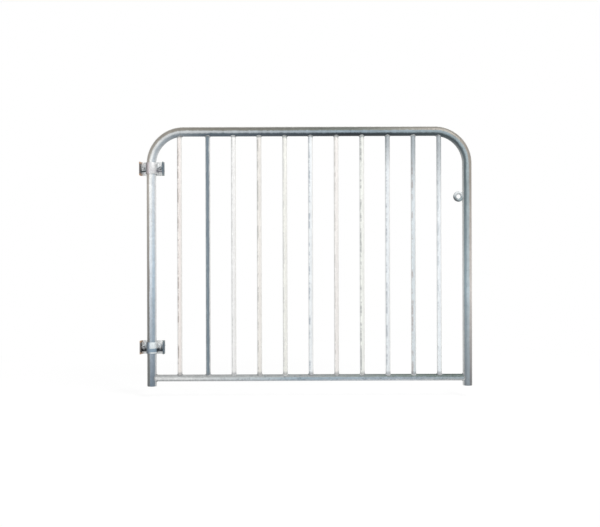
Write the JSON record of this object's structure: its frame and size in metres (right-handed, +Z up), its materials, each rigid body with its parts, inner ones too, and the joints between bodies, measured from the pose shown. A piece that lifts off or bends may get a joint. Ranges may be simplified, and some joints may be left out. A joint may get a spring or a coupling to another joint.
{
  "type": "vertical bar gate",
  "caption": "Galvanised upright-bar gate leaf, one bent tube frame with a bottom rail and latch ring, hung on its left stile in two bolted saddle clamps.",
  "frame": {"origin": "centre of the lower bracket's flat back, where it meets the wall or post", "axes": "+X along the closed gate from the hinge stile to the latch stile, +Y into the wall or post behind the brackets, +Z up"},
  "size_m": [1.4832, 0.1231, 1.155],
  "materials": {
    "frame": "hot-dip galvanised tube",
    "bars": "hot-dip galvanised tube",
    "ring": "hot-dip galvanised round bar",
    "brackets": "galvanised plate",
    "saddles": "galvanised pressed strap",
    "studs": "zinc-plated thread",
    "nuts": "zinc plated"
  },
  "bodies": {
    "hinge_brackets": {"lower_bracket": "brackets", "lower_saddle": "saddles", "lower_stud_left": "studs", "lower_stud_right": "studs", "lower_nut_left": "nuts", "lower_nut_right": "nuts", "upper_bracket": "brackets", "upper_saddle": "saddles", "upper_stud_left": "studs", "upper_stud_right": "studs", "upper_nut_left": "nuts", "upper_nut_right": "nuts"},
    "leaf": {"frame_tube": "frame", "bottom_rail": "frame", "bar_01": "bars", "bar_02": "bars", "bar_03": "bars", "bar_04": "bars", "bar_05": "bars", "bar_06": "bars", "bar_07": "bars", "bar_08": "bars", "bar_09": "bars", "bar_10": "bars", "bar_11": "bars", "latch_ring": "ring"}
  },
  "joints": [
    {"name": "gate_hinge", "type": "hinge", "parent": "hinge_brackets", "child": "leaf", "pos_m": [0, -0.0278, 0], "axis": [0, 0, -1], "range_deg": [0, 180]}
  ]
}
